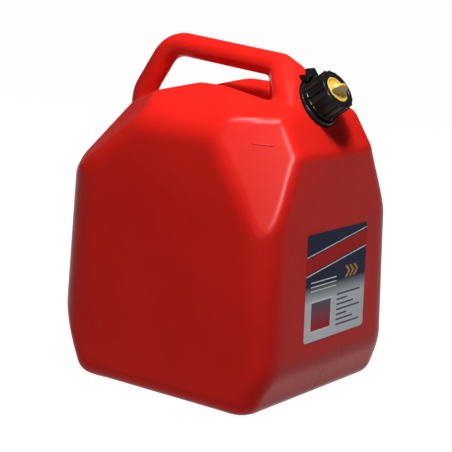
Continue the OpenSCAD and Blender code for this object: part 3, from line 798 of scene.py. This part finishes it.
def lockTab(c, t):
    (x, y), r, s, nose, reach = t["pivot"], t["earR"], t["padS"], t["nose"], t["reach"]
    top, under = s + t["padT"], c["skirt"] + t["clear"]
    shape = fillet([(x - r, y), (x + r, y), (x + r - t["clear"], s), (reach, s + t["padSlope"]), (reach, top),
                    (x - r, top), (x - r, s), (nose, s - t["clear"]), (nose, under), (x - r, under)],
                   t["soft"])
    arm = softened(acrossPivot("lockTab", shape, t["width"]), t["bevel"])
    barrel = acrossPivot("barrel", roundPlate(t["pivot"], r), t["width"])
    pin = acrossPivot("pin", roundPlate(t["pivot"], t["pinR"]), 2 * t["earOut"])
    return combined(arm, [("UNION", barrel), ("UNION", pin)])


def screwCollar(c):
    r, bore, low, end = c["collarR"], c["collarBore"], c["skirt"], c["collarEnd"]
    band, hole = c["bandT"], c["window"]
    brink, floor, deep = c["windowStep"]
    outline = [(bore, low), (r + band, low), (r + band, low + c["bandH"]), (r, low + c["bandH"] + band), (r, end),
               (hole + brink, end), (hole + floor, end - deep), (hole, end - deep), (hole, c["collarIn"]),
               (bore, c["collarIn"])]
    collar = turned("screwCollar", outline, c["collarSoft"], "blackPlastic")
    ribs = beadRing("ribs", low + c["ribFoot"] + c["ribR"], c["ribs"], r, c["ribR"],
                    end - low - c["ribFoot"] - c["ribTop"] - 2 * c["ribR"])
    teeth = beadRing("teeth", low + c["toothFoot"], c["teeth"], r + band, c["toothR"], c["toothLen"])
    thread = threadPiece("collarThread", neck, c["threadR"], False, "blackPlastic")
    return combined(collar, [("UNION", ribs), ("UNION", teeth), ("UNION", thread)])


def stopperDisc(c):
    low, top, r, face = c["stopperS"], c["stopperS"] + c["stopperT"], c["faceR"], c["faceS"]
    lip, dish = c["lip"], c["dish"]
    disc = turned("stopperDisc", [(axisR, low), (c["flangeR"], low), (c["flangeR"], top), (r, top), (r, face),
                                  (r - lip, face), (r - lip - dish, face - dish), (axisR, face - dish)],
                  c["stopperSoft"], "yellowPlastic")
    foot = face - dish - c["finRoot"]
    reach = min(c["finR"], face + c["finH"] - foot)
    steps, narrow = c["finSteps"], 1 - c["finTip"] / c["finFoot"]
    arc = [(c["finR"] * math.cos(math.pi * i / steps), reach * math.sin(math.pi * i / steps))
           for i in range(steps + 1)]
    verts, faces = prism(arc, -c["finFoot"] / 2, c["finFoot"] / 2)
    turn = Matrix.Rotation(deg(c["finTurn"]), 4, "Z") @ Matrix.Translation((0, 0, foot))
    verts = [turn @ Vector((x, -z * (1 - narrow * y / reach), y)) for x, y, z in verts]
    fin = softened(solidPiece("fin", (verts, faces), onNeck, "yellowPlastic"), c["finEdge"])
    return combined(disc, [("UNION", fin)])


def spoutPiece(s, c):
    top, bend, wall = s["flangeS"] + s["flangeT"], s["flangeS"] - s["straight"], s["wall"]
    run, count = bend - s["tipS"], s["beads"]
    outline = [(s["r"] - wall, top), (c["flangeR"], top), (c["flangeR"], s["flangeS"]), (s["r"], s["flangeS"]),
               (s["r"], bend)]
    radii = [*s["topSoft"], s["bendSoft"]]
    foot, crown = s["beadHalf"]
    for i in range(count):  # shallow stiffening beads down the taper
        z = bend - run * (i + s["beadFirst"]) / (count + s["beadFirst"])
        r = s["r"] + (s["tipR"] - s["r"]) * (bend - z) / run
        outline += [(r, z + foot), (r + s["beadH"], z + crown), (r + s["beadH"], z - crown), (r, z - foot)]
        radii += s["beadSoft"]
    outline += [(s["tipR"], s["tipS"]), (s["tipR"] - wall, s["tipS"]), (s["r"] - wall, bend)]
    radii += [*s["tipSoft"], s["bendSoft"]]
    shell = turned("pourSpout", outline, radii, "yellowPlastic", s["sides"])
    steps = []
    for z, r in ((bend - s["barH"], s["r"]), (s["tipS"] + s["barH"], s["tipR"])):  # bars that hold the air tube
        bar = oblong(r - wall / 2, s["barT"] / 2)
        for name, shape in (("bar", bar), ("boss", roundPlate((0, 0), s["airR"] + s["boss"]))):
            steps.append(("UNION", solidPiece(name, prism(shape, z, z + s["barH"]), onNeck, "yellowPlastic")))
    hole = roundPlate((0, 0), s["airR"] + c["gap"], s["airSides"])
    way = solidPiece("way", prism(hole, s["tipS"] - s["airIn"], top + s["airIn"]), onNeck, "yellowPlastic")
    return combined(shell, steps + [("DIFFERENCE", way)])


dress(lockRing(closure, tab), "tank_body", "lock_ring")
dress(lockTab(closure, tab), "tab_body", "lock_tab")
dress(screwCollar(closure), "collar_body", "screw_collar")
dress(stopperDisc(closure), "stopper_body", "stopper")
c, s = closure, spout
dress(washer("stopperSeal", s["r"] - s["wall"], c["flangeR"], c["sealS"], c["sealT"], c["sealSoft"], "sealRubber"),
      "stopper_body", "stopper_seal")
dress(washer("neckGasket", s["r"] + c["run"], c["flangeR"], c["gasketS"], c["gasketT"], c["gasketSoft"],
             "sealRubber"),
      "spout_body", "neck_gasket")
dress(spoutPiece(spout, closure), "spout_body", "spout")
tubeLong = s["flangeS"] + s["flangeT"] - s["tipS"] - s["straight"] - s["airShort"]
dress(washer("airTube", s["airR"] - s["airWall"], s["airR"], s["tipS"] + s["airIn"], tubeLong, s["airSoft"],
             "milkyPlastic", s["airSides"]), "spout_body", "air_tube")

# label: a plain film with its own design in bands
label = {"width": 134, "height": 129, "thick": 0.35, "lift": 0.05, "middle": (9, 143), "corner": 5,
         "navy": (0.006, 0.012, 0.045), "pale": (0.80, 0.84, 0.88), "red": (0.55, 0.010, 0.008),
         "gold": (0.70, 0.36, 0.05), "grey": (0.10, 0.12, 0.17), "white": (0.92, 0.93, 0.95),
         "fade": 0.04, "fadeScale": 60, "grainScale": 1100, "roughness": (0.38, 0.5), "bump": 0.05,
         "bumpDepth": 0.0002, "gloss": 0.06, "cornerSteps": 8}
design = {
    "ground": (0.36, 0.52), "slant": -0.16, "stripe": (0.635, 0.775),  # shares of the label's sides
    "edging": ((0.788, 0.798), (0.612, 0.622)),
    "chevrons": 3, "chevronU": (0.70, 0.735), "chevronStep": 0.07, "chevronV": (0.52, 0.63), "point": 0.575,
    "rules": ((0.545, 0.556), (0.505, 0.516), (0.465, 0.476)), "ruleU": (0.08, 0.5),
    "borderV": (0.08, 0.38), "borderU": (0.08, 0.44), "panelV": (0.10, 0.36), "panelU": (0.10, 0.42),
    "lines": 7, "lineV": 0.08, "lineStep": 0.048, "lineT": 0.017, "lineU": (0.52, 0.92), "shorter": 0.11}
levelMark = {"ends": ((101.57, -109.69, 311.27), (121.93, -95.63, 310.4)), "width": 1.6, "height": 0.6, "sunk": 1,
             "round": 0.98, "roundSteps": 6, "bevel": 0.25}


def labelFilm(s, d):
    mat, tree, shader = nodeTree("labelFilm")
    coords = tree.nodes.new("ShaderNodeTexCoord").outputs["Object"]
    split = tree.nodes.new("ShaderNodeSeparateXYZ")
    tree.links.new(coords, split.inputs[0])
    y, z = s["middle"]
    u = addRange(tree, split.outputs["Y"], (y - s["width"] / 2) * mm, (y + s["width"] / 2) * mm, 0, 1)
    v = addRange(tree, split.outputs["Z"], (z - s["height"] / 2) * mm, (z + s["height"] / 2) * mm, 0, 1)

    def patch(first, second):  # where u lies in the first span and v in the second
        return inBoth(tree, inBand(tree, v, *second), inBand(tree, u, *first))

    colour = addMix(tree, addRange(tree, v, *d["ground"], 0, 1), s["pale"], s["navy"])
    slant = addMath(tree, "ADD", v, addMath(tree, "MULTIPLY", u, d["slant"]))
    colour = addMix(tree, inBand(tree, slant, *d["stripe"]), colour, s["red"])
    for span in d["edging"]:
        colour = addMix(tree, inBand(tree, slant, *span), colour, s["white"])
    tip = addMath(tree, "ADD", u, addMath(tree, "ABSOLUTE", addMath(tree, "SUBTRACT", v, d["point"]), 0))
    for i in range(d["chevrons"]):
        low, high = (edge + i * d["chevronStep"] for edge in d["chevronU"])
        chevron = inBoth(tree, inBand(tree, tip, low, high), inBand(tree, v, *d["chevronV"]))
        colour = addMix(tree, chevron, colour, s["gold"])
    for rule in d["rules"]:
        colour = addMix(tree, patch(d["ruleU"], rule), colour, s["white"])
    colour = addMix(tree, patch(d["borderU"], d["borderV"]), colour, s["white"])
    panel = addMix(tree, addRange(tree, v, *d["panelV"], 0, 1), s["red"], s["grey"])
    colour = addMix(tree, patch(d["panelU"], d["panelV"]), colour, panel)
    begin, end = d["lineU"]
    for i in range(d["lines"]):
        low = d["lineV"] + i * d["lineStep"]
        line = patch((begin, end - d["shorter"] * (i % 3)), (low, low + d["lineT"]))
        colour = addMix(tree, line, colour, s["grey"])
    _, fade = addNoise(tree, coords, "fade", s["fadeScale"], 0, s["fade"])
    grain, roughness = addNoise(tree, coords, "film", s["grainScale"], *s["roughness"])
    addSurface(tree, shader, s, addMix(tree, fade, colour, s["grey"]), grain, roughness)
    return mat


def labelPiece(s):
    outline = fillet(oblong(s["width"] / 2, s["height"] / 2), [s["corner"]] * 4, s["cornerSteps"])
    lean = deg(tank["frontDraft"])
    y, z = s["middle"]
    out, rise = Vector((math.cos(lean), 0, math.sin(lean))), Vector((-math.sin(lean), 0, math.cos(lean)))
    place = Matrix(((0, 1, 0), rise, out)).transposed().to_4x4()
    place.translation = (frontX - z * math.tan(lean), y, z)
    data = meshFrom("labelSheet", *prism(outline, s["lift"], s["lift"] + s["thick"]), place)
    data.materials.append(labelFilm(s, design))
    return objectFrom("labelSheet", data)


def levelPiece(s):
    a, b = (Vector(e) for e in s["ends"])
    normal = Vector(heading(-tank["facetCut"][1], tank["facetCut"][2]))
    way = (b - a).normalized()
    place = Matrix((way, normal.cross(way), normal)).transposed().to_4x4()
    place.translation = (a + b) / 2
    half, r = (b - a).length / 2, s["width"] / 2
    outline = fillet(oblong(half, r), [r * s["round"]] * 4, s["roundSteps"])
    bar = solidPiece("levelMark", prism(outline, -s["sunk"], s["height"]), place, "redPlastic")
    return softened(bar, s["bevel"], 2)


dress(labelPiece(label), "tank_body", "label")
dress(levelPiece(levelMark), "tank_body")

# studio: a small high lamp, one overhead, a fill by the camera, one for glints, and a floor that is seen as white
lamps = {"key": {"at": (0.26, -0.27, 1.0), "size": 0.15, "power": 7.8},
         "top": {"at": (0.25, -0.12, 1.5), "size": 0.25, "power": 2.8},
         "fill": {"at": (0.9, -2.0, 0.7), "size": 0.8, "power": 6.0},
         "glint": {"at": (1.16, -0.69, 1.12), "size": 0.45, "power": 52.0, "diffuse": False}}
surround = {"aim": (0, 0, 0.25), "world": 0.07, "floor": (0.35, 0.35, 0.35, 1), "floorRough": 0.9, "white": 0.96,
            "floorSize": 90.0}


def placeLamps(s, aim):
    for name, lamp in s.items():
        data = bpy.data.lights.new(name, "AREA")
        data.size, data.energy = lamp["size"], lamp["power"]
        light = addObject(name, data)
        light.location = lamp["at"]
        light.visible_diffuse = lamp.get("diffuse", True)
        light.rotation_euler = (Vector(aim) - Vector(lamp["at"])).to_track_quat("-Z", "Y").to_euler()


def placeSurround(s):
    world = bpy.data.worlds.new("studio")
    world.use_nodes = True
    setInputs(world.node_tree.nodes["Background"], {"Color": (1, 1, 1, 1), "Strength": s["world"]})
    scene.world = world
    half = s["floorSize"] / 2
    data = bpy.data.meshes.new("floor")
    data.from_pydata([(x, y, 0) for x, y in oblong(half, half)], [], [(0, 1, 2, 3)])
    floor = addObject("floor", data)
    mat, tree, shader = nodeTree("floorPaint")
    setInputs(shader, {"Base Color": s["floor"], "Roughness": s["floorRough"], "Specular IOR Level": 0,
                       "Emission Color": (1, 1, 1, 1)})
    path = tree.nodes.new("ShaderNodeLightPath").outputs
    seen = addMath(tree, "MAXIMUM", path["Is Camera Ray"],
                   addMath(tree, "MAXIMUM", path["Is Glossy Ray"], path["Is Transmission Ray"]))
    tree.links.new(addMath(tree, "MULTIPLY", seen, s["white"]), shader.inputs["Emission Strength"])
    data.materials.append(mat)


placeLamps(lamps, surround["aim"])
placeSurround(surround)
print("studio:", len(lamps), "lamps")
